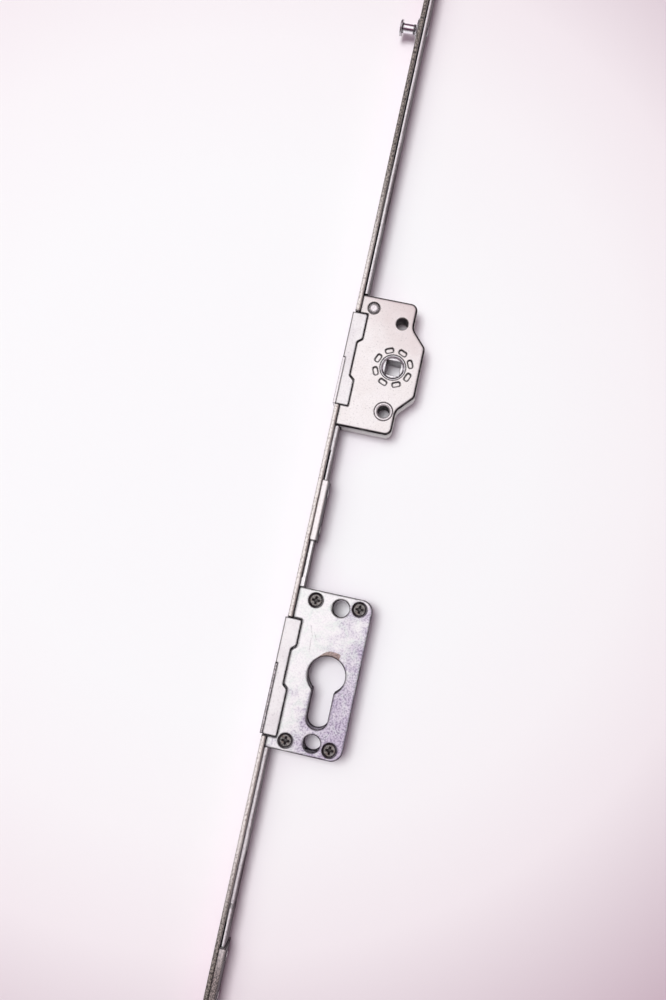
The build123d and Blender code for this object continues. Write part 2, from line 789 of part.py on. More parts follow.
def make_rack():
    """Toothed bar riveted to the rod. Its upper end is a narrow finger."""
    tips = -pitch_radius + gear_module
    roots = -pitch_radius - dedendum
    z = (-rack_width / 2, rack_width / 2)
    finger_back = tips - rack_finger_width
    body = block((rod_back, tips), (-rack_end, rack_shoulder()), z)
    body += block((finger_back, tips), (-rack_end, rack_overlap), z)
    slope = tan(radians(pressure_angle))
    half_pitch_line = tooth_pitch / 4
    half_root = half_pitch_line - dedendum * slope
    half_tip = half_pitch_line + gear_module * slope
    half_out = half_tip + overrun * slope
    spaces = round(travel / tooth_pitch) + 2
    for count in range(-spaces, 2):
        y = count * tooth_pitch
        points = [(roots, y - half_root), (tips + overrun, y - half_out),
                  (tips + overrun, y + half_out), (roots, y + half_root)]
        space = plate(make_face(Polyline(*points, close=True)), (-rack_width, rack_width))
        body -= space
    for place in rack_rivet_places():
        body -= rack_rivet_tools(place)
    return body


def make_rack_rivets():
    rivets = []
    for place in rack_rivet_places():
        shank, head = rack_rivet_tools(place)
        rivets.append(shank + head)
    return rivets


def leaf_spring(peg_reach, peg_y, tip_y, height, low):
    """A leaf hooked round its left peg, with a bump in the middle and a free right end."""
    left = (-peg_reach, peg_y)
    bump_y = tip_y + leaf_bump_rise
    under = peg_y - leaf_wrap
    path = [ThreePointArc((left[0], left[1] + leaf_wrap), (left[0] - leaf_wrap, left[1]),
                          (left[0], under)),
            Line((left[0], under), (-leaf_bump_half_width, bump_y)),
            ThreePointArc((-leaf_bump_half_width, bump_y), (0, tip_y),
                          (leaf_bump_half_width, bump_y)),
            Line((leaf_bump_half_width, bump_y), (peg_reach, under)),
            Line((peg_reach, under), (peg_reach + leaf_tail, under))]
    strip = trace(Wire(path), leaf_thickness)
    return plate(strip, (low, low + height))


def make_detent_spring():
    tip_y = collar_radius - notch_depth + leaf_gap + leaf_thickness / 2
    low = gear_inner - inner_gap / 2 - leaf_height
    peg_y = collar_radius + gear_peg_rise
    return leaf_spring(gear_peg_reach, peg_y, tip_y, leaf_height, low)


# Lock case

def lock_outline():
    left_top = (case_front, lock_top)
    points = [left_top, (lock_case_reach, lock_top), (lock_case_reach, lock_bottom),
              (case_front, lock_bottom)]
    return outline(points, [0, lock_corner_radius, lock_corner_radius, 0])


def profile_hole(z):
    """Keyhole-shaped opening for a profile cylinder: a round with a slot below it."""
    round_part = Pos(0, cylinder_y) * Circle(profile_radius)
    slot = Pos(0, cylinder_y - slot_end / 2) * Rectangle(profile_slot_width, slot_end)
    slot_foot = Pos(0, cylinder_y - slot_end) * Circle(slot_radius)
    shape = round_part + slot + slot_foot
    junction = cylinder_y - sqrt(profile_radius**2 - slot_radius**2)
    corners = [v for v in shape.vertices() if near(v.Y, junction)]
    shape = fillet(corners, profile_fillet)
    return plate(shape, z)


def lock_screw_places():
    for x in (-lock_screw_front, lock_screw_back):
        for side in (-1, 1):
            yield (x, cylinder_y + side * post_rise)


def lock_bores(z):
    """Openings that both lock sheets share: the cylinder and the two through bolts."""
    cuts = [profile_hole(z)]
    for side in (-0.5, 0.5):
        cuts.append(rod_z(0, cylinder_y + side * lock_bolt_spacing, lock_bolt_radius, z))
    return cuts


def screw_head(x, y):
    """The head's cone, below the cover's face."""
    top = half_case - lock_screw_recess
    depth = lock_screw_head_radius - lock_screw_radius
    return cone_z(x, y, (lock_screw_radius, lock_screw_head_radius), (top - depth, top))


def screw_sink(x, y):
    """The countersink, which is wider than the head where it meets the cover's face."""
    low = half_case - lock_screw_recess - lock_screw_head_radius + lock_screw_radius
    high = half_case + overrun
    foot = lock_screw_radius + lock_screw_gap
    return cone_z(x, y, (foot, foot + high - low), (low, high))


def make_lock_cover():
    cover = plate(lock_outline(), (lock_inner, half_case))
    cover = with_saddle_seat(cover, lock_saddle, lock_inner, True)
    z = (lock_inner - overrun, half_case + overrun)
    cuts = lock_bores(z)
    for x, y in lock_screw_places():
        cuts.append(rod_z(x, y, lock_screw_radius + lock_screw_gap, z))
        cuts.append(screw_sink(x, y))
    return cover - cuts


def lock_pegs():
    rise = cylinder_y + slide_top + lock_peg_rise
    return ((-lock_peg_reach, rise), (lock_peg_reach, rise))


def guide_pin_places():
    rise = cylinder_y + guide_pin_rise
    return ((-guide_pin_front, rise), (guide_pin_back, rise))


def make_lock_case():
    """Pan with a floor and three walls. The back wall has a window for the cylinder's cam."""
    face = lock_outline()
    pan = plate(face, (-half_case, lock_inner))
    pan -= plate(offset(face, -lock_sheet), (-lock_inner, lock_inner))
    pan -= block((case_front - overrun, wall_front), (lock_bottom - overrun, lock_top + overrun),
                 (-lock_inner, lock_inner + overrun))
    pan -= block((wall_front - overrun, wall_front + lock_sheet + overrun),
                 (lock_bottom + lock_sheet, lock_top - lock_sheet), (-lock_inner, lock_inner))
    window = (cylinder_y - lock_window_half_height, cylinder_y + lock_window_half_height)
    pan -= block((lock_case_reach - lock_sheet - overrun, lock_case_reach + overrun), window,
                 (-lock_inner, lock_inner + overrun))
    pan = with_saddle_seat(pan, lock_saddle, lock_inner, False)
    for x, y in lock_pegs():
        pan += rod_z(x, y, peg_radius, (-lock_inner - lock_sheet / 2, leaf_height / 2 + leaf_gap))
    floor = (-half_case - overrun, -lock_inner + overrun)
    cuts = lock_bores(floor)
    for x, y in lock_screw_places():
        cuts.append(rod_z(x, y, post_tail_radius, floor))
    for x, y in guide_pin_places():
        cuts.append(rod_z(x, y, guide_pin_radius, floor))
    return pan - cuts


def make_lock_posts():
    """Threaded posts riveted to the pan's floor, one under each screw."""
    posts = []
    for x, y in lock_screw_places():
        post = rod_z(x, y, post_radius, (-lock_inner, lock_inner))
        post += rod_z(x, y, post_tail_radius, (-half_case, -lock_inner))
        depth = lock_screw_length + 2 * lock_screw_gap
        post -= rod_z(x, y, lock_screw_radius + lock_screw_gap,
                      (half_case - lock_screw_recess - depth, half_case))
        post -= screw_sink(x, y)
        posts.append(post)
    return posts


def make_lock_screws():
    """Countersunk screws with a cross recess."""
    screws = []
    top = half_case - lock_screw_recess
    for x, y in lock_screw_places():
        screw = rod_z(x, y, lock_screw_radius, (top - lock_screw_length, top - drive_depth / 2))
        screw += screw_head(x, y)
        for angle in (0, 90):
            arm = Box(drive_length, drive_width, 2 * drive_depth)
            screw -= Pos(x, y, top) * (Rot(0, 0, angle) * arm)
        screws.append(screw)
    return screws


def make_lock_slide():
    """Blocking slide at rest, drawn back. Its cam notch opens towards the cylinder."""
    y0 = cylinder_y
    tooth = slide_tooth_height / 2
    tooth_low = y0 + slide_tooth_rise - tooth
    tooth_high = y0 + slide_tooth_rise + tooth
    notch_top = y0 + slide_bottom + cam_notch_rise
    points = [(slide_tip, tooth_high), (slide_shoulder, tooth_high),
              (slide_shoulder, y0 + slide_top), (slide_reach, y0 + slide_top),
              (slide_reach, y0 + slide_bottom), (cam_notch_half_width, y0 + slide_bottom),
              (cam_notch_half_width, notch_top), (-cam_notch_half_width, notch_top),
              (-cam_notch_half_width, y0 + slide_bottom), (slide_shoulder, y0 + slide_bottom),
              (slide_shoulder, tooth_low), (slide_tip, tooth_low)]
    soft = cam_notch_corner
    radii = [edge_break, 0, soft, soft, soft, soft, soft, soft, soft, soft, 0, edge_break]
    half = slide_thickness / 2
    slide = plate(outline(points, radii), (-half, half))
    reach = slide_top - notch_depth + notch_radius
    for x in (0, slide_stroke):
        slide -= rod_z(x, y0 + reach, notch_radius, (-half - overrun, half + overrun))
    for x, y in guide_pin_places():
        radius = guide_pin_radius + guide_pin_gap
        z = (-half - overrun, half + overrun)
        slide -= [rod_z(x, y, radius, z), rod_z(x + slide_stroke, y, radius, z),
                  block((x, x + slide_stroke), (y - radius, y + radius), z)]
    return slide


def make_lock_guide_pins():
    """Shouldered pins that carry the slide between them."""
    pins = []
    seat = slide_thickness / 2 + guide_pin_float
    for x, y in guide_pin_places():
        pin = rod_z(x, y, guide_pin_radius, (-half_case, lock_inner))
        pin += rod_z(x, y, guide_pin_shoulder, (-lock_inner, -seat))
        pin += rod_z(x, y, guide_pin_shoulder, (seat, lock_inner))
        pins.append(pin)
    return pins


def make_lock_spring():
    tip_y = slide_top - notch_depth + leaf_gap + leaf_thickness / 2
    spring = leaf_spring(lock_peg_reach, slide_top + lock_peg_rise, tip_y, leaf_height,
                         -leaf_height / 2)
    return Pos(0, cylinder_y, 0) * spring


def save(name, piece):
    """Writes one named piece, or one group of like pieces, to its own file."""
    solids = piece if isinstance(piece, list) else [piece]
    solids = [solid for shape in solids for solid in shape.solids()]
    shape = solids[0] if len(solids) == 1 else Compound(children=solids)
    export_step(shape, f"parts/{name}.step")


os.makedirs("parts", exist_ok=True)
save("faceplate", make_faceplate())
save("drive_rod", make_drive_rod())
save("rod_guide_upper", make_rod_guide(guide_upper_drop))
save("rod_guide_lower", make_rod_guide(guide_lower_drop))
save("guide_rivets", make_guide_rivets())
save("cam_stud", make_cam_stud())
save("cam_washer", make_cam_washer())
save("cam_roller", make_cam_roller())
save("gearbox_case", make_gearbox_case())
save("gearbox_cover", make_gearbox_cover())
save("gearbox_rivet", make_gearbox_rivet())
save("handle_bushing_lower", make_bushing_lower())
save("handle_bushing_upper", make_bushing_upper())
save("gearbox_saddle_top", make_saddle_half(gear_saddle, True))
save("gearbox_saddle_bottom", mirrored(make_saddle_half(gear_saddle, False)))
save("follower", make_follower())
save("rack", make_rack())
save("rack_rivets", make_rack_rivets())
save("gearbox_detent_spring", make_detent_spring())
save("lock_case", make_lock_case())
save("lock_cover", make_lock_cover())
save("lock_posts", make_lock_posts())
save("lock_screws", make_lock_screws())
save("lock_slide", make_lock_slide())
save("lock_guide_pins", make_lock_guide_pins())
save("lock_detent_spring", make_lock_spring())
save("lock_saddle_top", make_saddle_half(lock_saddle, True))
save("lock_saddle_bottom", mirrored(make_saddle_half(lock_saddle, False)))
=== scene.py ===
from math import radians

import bpy
from mathutils import Matrix, Vector


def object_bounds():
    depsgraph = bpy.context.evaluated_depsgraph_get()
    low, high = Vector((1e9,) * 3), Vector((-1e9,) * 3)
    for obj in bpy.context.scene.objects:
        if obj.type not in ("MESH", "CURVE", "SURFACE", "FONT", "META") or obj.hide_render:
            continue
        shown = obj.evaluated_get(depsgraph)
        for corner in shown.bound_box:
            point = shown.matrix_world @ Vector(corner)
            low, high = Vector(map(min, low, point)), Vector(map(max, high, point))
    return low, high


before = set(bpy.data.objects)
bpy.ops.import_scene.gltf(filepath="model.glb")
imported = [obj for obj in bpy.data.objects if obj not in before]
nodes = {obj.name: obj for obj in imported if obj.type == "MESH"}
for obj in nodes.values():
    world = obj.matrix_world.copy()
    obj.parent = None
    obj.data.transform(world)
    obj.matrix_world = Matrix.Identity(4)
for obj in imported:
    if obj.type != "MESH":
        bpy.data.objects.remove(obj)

cad_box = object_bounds()
MM = 0.001

# Places on the part that the materials refer to
CYLINDER_Y = -147 * MM
CYLINDER_RADIUS = 8.75 * MM
SADDLE_TAB_FRONT = -23.05 * MM      # only the saddles' tabs stand in front of this

# Looks that several materials share
# Painted shade: the dark colour that sharp edges, narrow gaps and slopes turned from the light
# are mixed towards, the edge radius that gets a dark line, and the gap width that is shaded
SHADE_COLOUR = (0.020, 0.015, 0.018)
SHADE_LINE = 1.6 * MM               # bevel radius at which an edge counts as sharp
SHADE_CREVICE = 1.1 * MM
FINE_GRAIN = 1500                   # noise scale, per metre
AO_SAMPLES = 8

# Camera: almost straight above, turned so that the bar leans to the right in the picture
CAMERA_PLACE = Vector((20.0, -111.2, 469.1)) * MM
CAMERA_ROLL = radians(12.0)
CAMERA_PITCH = radians(6.17)
CAMERA_YAW = radians(2.99)

FLOOR_HALF_SIDE = 12.0
FLOOR_GAP = 0.00005
# Painted light on the floor: the middle of a painted pool of light, its colours by distance, and
# a painted shadow tint beside the part
LIGHT_POOL_MIDDLE = (-0.040, -0.055)     # where the floor is palest
LIGHT_POOL_COLOURS = ((0.0, (0.92, 0.952, 0.953)), (0.16, (0.92, 0.953, 0.95)),
                 (0.24, (0.915, 0.92, 0.925)), (0.31, (0.875, 0.84, 0.86)),
                 (0.43, (0.60, 0.49, 0.55)), (0.62, (0.76, 0.69, 0.73)),
                 (1.0, (0.88, 0.84, 0.86)))
FLOOR_SHADE = (0.965, 0.90, 0.945)  # tint of the floor close beside the part
FLOOR_SHADE_REACH = 20 * MM

# Sky colours by their angle to the overhead light: 0 at right angles to it, 1 towards it
SKY_AXIS = Vector((-0.23, 0.12, 0.96)).normalized()
SKY_COLOURS = ((0.0, (0.36, 0.30, 0.33)), (0.28, (0.24, 0.19, 0.22)),
               (0.52, (0.030, 0.010, 0.020)), (0.75, (0.15, 0.055, 0.105)),
               (0.86, (0.54, 0.35, 0.45)), (0.91, (0.92, 0.80, 0.86)),
               (0.95, (1.15, 1.11, 1.13)), (1.0, (1.19, 1.15, 1.17)))

LAMP_DIAMETER = 1.35
LAMP_WATTS = 71.0
LAMP_COLOUR = (0.975, 1.0, 0.985)
LAMP_PLACE = (-0.62, 0.14, 3.06)
LAMP_TARGET = Vector((0.0, -0.06, 0.0))


def place_camera():
    data = bpy.data.cameras.new("camera")
    data.sensor_fit = "VERTICAL"
    data.sensor_height = 36.0
    data.lens = 36.0
    data.clip_start = 0.01
    data.clip_end = 20.0
    cam = bpy.data.objects.new("camera", data)
    bpy.context.scene.collection.objects.link(cam)
    turn = (Matrix.Rotation(CAMERA_ROLL, 4, "Z") @ Matrix.Rotation(CAMERA_PITCH, 4, "X")
            @ Matrix.Rotation(CAMERA_YAW, 4, "Y"))
    cam.matrix_world = Matrix.Translation(CAMERA_PLACE) @ turn
    bpy.context.scene.camera = cam


def fill_ramp(color_ramp, stops):
    """Stops are (place, colour)."""
    els = color_ramp.elements
    while len(els) < len(stops):
        els.new(0.5)
    for el, (place, colour) in zip(els, stops):
        el.position = place
        el.color = colour + (1.0,)


class Tree:
    """A material's node tree, with short calls to add and join its nodes."""

    def __init__(self, name):
        self.mat = bpy.data.materials.new(name)
        self.mat.use_nodes = True
        self.nt = self.mat.node_tree
        self.nt.nodes.clear()
        self.out = self.new("OutputMaterial")
        self.bsdf = self.new("BsdfPrincipled")
        self.nt.links.new(self.bsdf.outputs[0], self.out.inputs[0])
        self.coord = self.new("TexCoord").outputs["Object"]

    def new(self, kind):
        return self.nt.nodes.new("ShaderNode" + kind)

    def link(self, value, socket):
        """Value is a number, a colour or vector as a tuple, or another node's output."""
        if isinstance(value, (int, float)):
            socket.default_value = value
        elif isinstance(value, tuple):
            full = len(value) == len(socket.default_value)
            socket.default_value = value if full else value + (1.0,)
        else:
            self.nt.links.new(value, socket)

    # Arithmetic

    def math(self, op, a, b=0.0, clamp=False):
        n = self.new("Math")
        n.operation = op
        n.use_clamp = clamp
        self.link(a, n.inputs[0])
        self.link(b, n.inputs[1])
        return n.outputs[0]

    def add(self, a, b):
        return self.math("ADD", a, b)

    def less(self, a, b):
        return self.math("SUBTRACT", a, b)

    def times(self, a, b):
        return self.math("MULTIPLY", a, b)

    def linear(self, value, factor, start):
        return self.add(self.times(value, factor), start)

    def wander(self, noise, width):
        """The noise, spread over the width and centred on 0."""
        return self.times(self.less(noise, 0.5), width)

    def distance(self, dx, dy):
        return self.math("SQRT", self.add(self.times(dx, dx), self.times(dy, dy)))

    def dot(self, a, b):
        n = self.new("VectorMath")
        n.operation = "DOT_PRODUCT"
        self.link(a, n.inputs[0])
        self.link(b, n.inputs[1])
        return n.outputs["Value"]

    def map(self, value, low, high, first=0.0, last=1.0):
        """First at low and before it, last at high and past it, with a smooth step between."""
        n = self.new("MapRange")
        n.interpolation_type = "SMOOTHSTEP"
        self.link(value, n.inputs[0])
        for index, number in enumerate((low, high, first, last)):
            n.inputs[index + 1].default_value = number
        return n.outputs[0]

    def band(self, value, low, high, soft):
        """1 between low and high, fading over soft on each side."""
        return self.times(self.map(value, low - soft, low + soft),
                          self.map(value, high - soft, high + soft, 1.0, 0.0))

    # Colours

    def ramp(self, value, *stops):
        n = self.new("ValToRGB")
        self.link(value, n.inputs[0])
        fill_ramp(n.color_ramp, stops)
        return n.outputs[0]

    def mix(self, fac, a, b, kind="MIX"):
        n = self.new("Mix")
        n.data_type = "RGBA"
        n.blend_type = kind
        self.link(fac, n.inputs[0])
        self.link(a, n.inputs[6])
        self.link(b, n.inputs[7])
        return n.outputs[2]

    # Patterns and places

    def noise(self, scale, detail=3.0, rough=0.55, stretch=(1.0, 1.0, 1.0), distortion=0.0):
        stretched = self.new("Mapping")
        self.link(self.coord, stretched.inputs["Vector"])
        stretched.inputs["Scale"].default_value = stretch
        n = self.new("TexNoise")
        self.link(stretched.outputs[0], n.inputs["Vector"])
        n.inputs["Scale"].default_value = scale
        n.inputs["Detail"].default_value = detail
        n.inputs["Roughness"].default_value = rough
        n.inputs["Distortion"].default_value = distortion
        return n.outputs["Fac"]

    def xyz(self, vector=None):
        """The three numbers of a vector, or else of the place on the part."""
        n = self.new("SeparateXYZ")
        self.link(vector or self.coord, n.inputs[0])
        return n.outputs

    def normal(self):
        return self.new("NewGeometry").outputs["Normal"]

    def soft_normal(self, radius, samples):
        bevel = self.new("Bevel")
        bevel.samples = samples
        bevel.inputs["Radius"].default_value = radius
        return bevel.outputs[0]

    def openness(self, distance):
        """1 in the open, and less near other surfaces within the distance."""
        n = self.new("AmbientOcclusion")
        n.samples = AO_SAMPLES
        n.inputs["Distance"].default_value = distance
        return n.outputs["AO"]

    def wall_shade(self, amount, flat=0.6):
        """Painted shade: amount on upright faces, and 0 where the normal's upright share is past
        flat.
        """
        upward = self.math("ABSOLUTE", self.xyz(self.normal())["Z"])
        return self.map(upward, 0.2, flat, amount, 0.0)

    def painted_shade(self, line, crevice, slopes):
        """Painted shade: 1 at sharp edges within the line's width and in gaps narrower than the
        crevice, and slopes on slopes that face away from the upper left, where the light comes
        from."""
        flat = self.normal()
        turn = self.dot(self.soft_normal(line, 8), flat)
        edge = self.map(turn, 0.88, 0.997, 1.0, 0.0)
        gap = self.map(self.openness(crevice), 0.42, 0.84, 1.0, 0.0)
        both = self.math("MAXIMUM", edge, gap, True)
        if slopes:
            rim = self.band(self.xyz(flat)["Z"], 0.22, 0.93, 0.05)
            upper_left = self.dot(flat, (-0.94, 0.34, 0.0))
            slope_shade = self.map(upper_left, 0.0, 0.8, slopes, 0.8 * slopes)
            both = self.math("MAXIMUM", both, self.times(rim, slope_shade))
        return both

    def finish(self, colour, rough, height, depth, edge, metallic,
               line=SHADE_LINE, crevice=SHADE_CREVICE, slopes=0.0, extra_shade=None):
        """Joins colour, roughness and bump, and returns the material. Edge is the radius that
        sharp edges seem to have, and 0 for a surface without painted shade. The extra mask marks
        further places that get painted shade."""
        shader = self.bsdf.inputs
        if edge:
            # painted shade at sharp edges, in gaps, on slopes and on the extra masked faces: it
            # darkens the colour, roughens it and takes the metal off
            mask = self.painted_shade(line, crevice, slopes)
            if extra_shade is not None:
                mask = self.math("MAXIMUM", mask, extra_shade, True)
            patchy = self.map(self.noise(420, 3, 0.6), 0.30, 0.60, 0.93, 1.0)
            mask = self.times(mask, patchy)
            colour = self.mix(mask, colour, SHADE_COLOUR)
            rough = self.add(rough, self.times(mask, 0.25))
            unshaded = self.less(1.0, mask)
            self.link(self.times(unshaded, metallic), shader["Metallic"])
            self.link(self.times(unshaded, 0.5), shader["Specular IOR Level"])
        else:
            shader["Metallic"].default_value = metallic
        self.link(colour, shader["Base Color"])
        self.link(rough, shader["Roughness"])
        bump = self.new("Bump")
        bump.inputs["Distance"].default_value = depth
        bump.inputs["Strength"].default_value = 1.0
        self.link(height, bump.inputs["Height"])
        if edge:
            self.link(self.soft_normal(edge, 4), bump.inputs["Normal"])
        self.link(bump.outputs[0], shader["Normal"])
        return self.mat


def tint(colour, factor):
    return tuple(min(1.0, v * factor) for v in colour)


def zinc_sheet(name, light, dark, specks, lean=None, wall_shade=0.0, **more):
    """Zinc-plated sheet: fine mottling, faint rolling marks, a few darker specks.

    Lean is a colour, a direction, and the two places along it between which the colour comes
    in. The wall amount is how much painted shade darkens the upright faces."""
    t = Tree(name)
    # painted shade on the upright faces
    if wall_shade:
        more["extra_shade"] = t.wall_shade(wall_shade)
    fine = t.noise(FINE_GRAIN, 4, 0.6)
    cloud = t.noise(120, 3, 0.55)
    speck = t.map(t.noise(1300, 2, 0.7), 0.60, 0.68)
    streak = t.noise(260, 3, 0.6, stretch=(1.0, 0.06, 1.0))
    base = t.mix(t.map(cloud, 0.36, 0.68), light, dark)
    if lean:
        colour, way, low, high = lean
        along = t.add(t.dot(t.coord, way), t.wander(cloud, 14 * MM))
        base = t.mix(t.map(along, low, high), base, colour)
    base = t.mix(t.times(t.map(fine, 0.42, 0.66), 0.28), base, tint(dark, 0.80))
    base = t.mix(t.times(speck, specks), base, tint(dark, 0.50))
    roughness = t.add(t.linear(fine, 0.18, 0.24), t.times(streak, 0.08))
    height = t.add(t.times(fine, 0.5), t.times(streak, 0.2))
    return t.finish(base, roughness, height, 0.010 * MM, 0.22 * MM, 0.5, **more)


def flat_bar(name, front, back, stops, dull, torn, line, wide=None, back_shade=0.25):
    """Sheared flat bar: smooth faces, and long edges with a bright, a torn and a dull stretch.

    Stops colour the sheared edge from the front to the back: (place in mm, colour). Dull is a
    colour, and stretches of the bar over which it comes in. Torn is how rough the edge is.
    Wide is a stretch where the stops move back by a length. The back colour is painted shade on
    the faces that look back, and the back-shade amount darkens them further."""
    t = Tree(name)
    x, y, _ = t.xyz()
    normal = t.xyz(t.normal())
    on_edge = t.map(t.math("ABSOLUTE", normal["Z"]), 0.55, 0.80)
    grain = t.noise(FINE_GRAIN, 4, 0.75, stretch=(1.0, 0.55, 1.0))
    along = t.noise(500, 3, 0.6, stretch=(1.0, 0.04, 1.0))
    patch = t.noise(90, 3, 0.6)

    first, last = stops[0][0] * MM, stops[-1][0] * MM
    place = t.add(x, t.wander(grain, 0.7 * MM))
    if wide:
        low, high, length = wide
        place = t.less(place, t.times(t.band(y, low * MM, high * MM, 6 * MM), length * MM))
    share = t.math("DIVIDE", t.less(place, first), last - first)
    edge = t.ramp(share, *[((at * MM - first) / (last - first), colour) for at, colour in stops])
    edge = t.mix(t.map(grain, 0.52, 0.60, 0.0, 0.75 * torn), edge, tint(stops[-1][1], 0.7))
    edge = t.mix(t.times(t.map(patch, 0.45, 0.70), 0.3), edge, stops[1][1])
    if dull:
        colour, stretches = dull
        for low, high in stretches:
            flecked = t.mix(t.map(grain, 0.44, 0.54), tint(colour, 2.4), tint(colour, 0.25))
            edge = t.mix(t.times(t.map(y, low * MM, high * MM), 0.9), edge, flecked)

    # painted shade: faces that look back get the darker back colour
    face = t.mix(t.map(normal["X"], -0.3, 0.3), front, back)
    smooth = t.mix(t.times(along, 0.5), face, t.mix(0.2, face, (0.1, 0.1, 0.1)))
    colour = t.mix(on_edge, smooth, edge)
    rough_face = t.linear(along, 0.14, 0.25)
    rough_edge = t.linear(grain, 0.25, 0.12 * torn + 0.18)
    roughness = t.mix(on_edge, rough_face, rough_edge)
    height = t.mix(on_edge, t.times(along, 0.25), t.times(grain, torn))
    # painted shade: the back face is darkened further
    extra_shade = t.map(normal["X"], 0.5, 0.9, 0.0, back_shade)
    return t.finish(colour, roughness, height, 0.05 * MM, 0.20 * MM, 0.5, line=line,
                    extra_shade=extra_shade)


def turned(name, light, dark, rough, scale=1200, depth=0.004 * MM, metallic=0.85, wall_shade=0.0,
           **more):
    """Turned or ground steel. The wall amount is how much painted shade darkens the upright
    faces.
    """
    t = Tree(name)
    # painted shade on the upright faces
    if wall_shade:
        more["extra_shade"] = t.wall_shade(wall_shade)
    grain = t.noise(scale, 4, 0.6)
    cloud = t.noise(300, 2, 0.5)
    colour = t.mix(t.map(grain, 0.38, 0.66), light, dark)
    roughness = t.linear(cloud, rough * 0.8, rough * 0.6)
    return t.finish(colour, roughness, grain, depth, 0.15 * MM, metallic, **more)


def dark_screw(name):
    """Blackened screw, worn through to the steel and a little rusty."""
    t = Tree(name)
    grain = t.noise(FINE_GRAIN, 4, 0.75)
    warm = t.noise(700, 2, 0.6)
    colour = t.mix(t.map(grain, 0.40, 0.64), (0.40, 0.40, 0.38), (0.07, 0.07, 0.065))
    colour = t.mix(t.map(warm, 0.50, 0.66, 0.0, 0.6), colour, (0.24, 0.18, 0.14))
    roughness = t.linear(grain, 0.3, 0.22)
    return t.finish(colour, roughness, grain, 0.05 * MM, 0.12 * MM, 0.8, line=0.9 * MM,
                    crevice=1.5 * MM)


def crescent_stain(t, x, dy, wobble):
    """The mask of a stain along the upper left of the cylinder's round, and its thickness."""
    angle = t.math("ARCTAN2", dy, x)
    thick = t.times(t.map(angle, radians(148), radians(76), 0.0, 2.6 * MM),
                    t.map(angle, radians(60), radians(68)))
    rim = t.add(t.add(thick, wobble), CYLINDER_RADIUS)
    inside = t.less(rim, t.distance(x, dy))
    return t.times(t.map(inside, -0.15 * MM, 0.25 * MM), t.map(thick, 0.1 * MM, 0.6 * MM))


def scratches(t, x, dy, fine, marks):
    """The mask of short lines, each (x, y, length, lean), in mm from the cylinder's axis."""
    every = None
    for mark_x, mark_y, length, lean in marks:
        run = t.less(dy, mark_y * MM)
        off = t.add(t.less(x, mark_x * MM), t.times(run, lean))
        line = t.times(t.band(off, -0.13 * MM, 0.13 * MM, 0.06 * MM),
                       t.band(run, -length / 2 * MM, length / 2 * MM, 0.4 * MM))
        line = t.times(line, t.map(fine, 0.40, 0.55, 0.1, 1.0))
        every = line if every is None else t.math("MAXIMUM", every, line)
    return every


def lock_zinc(name):
    """The lock's sheet: zinc that turns violet towards the back edge, with a stain and
    scratches."""
    t = Tree(name)
    x, y, _ = t.xyz()
    dy = t.less(y, CYLINDER_Y)
    fine = t.noise(FINE_GRAIN, 4, 0.6)
    drift = t.noise(130, 4, 0.6, distortion=0.4)
    cloud = t.noise(210, 3, 0.6, distortion=0.6)
    grain = t.map(t.noise(1150, 3, 0.75), 0.49, 0.57)
    base = t.mix(t.map(cloud, 0.38, 0.66), (0.96, 0.97, 0.965), (0.90, 0.95, 0.92))

    # the violet comes in further from the back at the lower end
    reach = t.add(t.less(x, t.times(dy, 0.30)), t.wander(drift, 60 * MM))
    back = t.map(reach, -10 * MM, 19 * MM)
    base = t.mix(t.times(back, 0.85), base, (0.60, 0.54, 0.68))
    base = t.mix(t.times(t.map(cloud, 0.54, 0.66), 0.40), base, (0.80, 0.88, 0.84))
    base = t.mix(t.times(grain, t.linear(back, 0.72, 0.12)), base, (0.26, 0.21, 0.34))

    stain = crescent_stain(t, x, dy, t.wander(cloud, 1.2 * MM))
    tan = t.mix(t.map(fine, 0.40, 0.60), (0.56, 0.42, 0.35), (0.25, 0.17, 0.13))
    base = t.mix(t.times(stain, 0.80), base, tan)
    scratch = scratches(t, x, dy, fine, ((-10.9, 18.5, 5.2, 0.35), (-10.2, 12.0, 6.5, 0.08),
                                         (-8.6, 16.4, 3.0, 0.5)))
    base = t.mix(t.times(scratch, 0.75), base, (0.36, 0.34, 0.35))

    roughness = t.add(t.linear(fine, 0.18, 0.24), t.times(stain, 0.25))
    height = t.less(t.times(fine, 0.5), scratch)
    # Painted shade on sharp edges, in gaps, on slopes turned from the upper left and on the
    # upright faces
    return t.finish(base, roughness, height, 0.012 * MM, 0.20 * MM, 0.5, line=2.0 * MM,
                    slopes=1.0, extra_shade=t.wall_shade(0.6, flat=0.5))


def saddle_sheared(name, light, dark):
    """Lower half of a saddle: zinc, with the sheared end of the tab striped across."""
    t = Tree(name)
    x = t.xyz()["X"]
    upward = t.xyz(t.normal())["Z"]
    tab = t.times(t.math("LESS_THAN", x, SADDLE_TAB_FRONT),
                  t.math("GREATER_THAN", upward, 0.6))
    fine = t.noise(FINE_GRAIN, 4, 0.6)
    stripes = t.noise(1100, 2, 0.5, stretch=(0.35, 1.0, 1.0), distortion=0.3)
    cloud = t.noise(150, 3, 0.55)
    base = t.mix(t.map(cloud, 0.36, 0.68), light, dark)
    base = t.mix(t.times(fine, 0.25), base, tint(dark, 0.8))
    torn = t.mix(t.map(stripes, 0.40, 0.60), (0.92, 0.90, 0.91), (0.50, 0.48, 0.49))
    colour = t.mix(tab, base, torn)
    roughness = t.mix(tab, t.linear(fine, 0.16, 0.24), (0.5, 0.5, 0.5))
    height = t.mix(tab, t.times(fine, 0.2), stripes)
    return t.finish(colour, roughness, height, 0.03 * MM, 0.20 * MM, 0.5, line=1.2 * MM)


def dress(material, *names):
    for name in names:
        slots = nodes[name].data.materials
        slots.clear()
        slots.append(material)


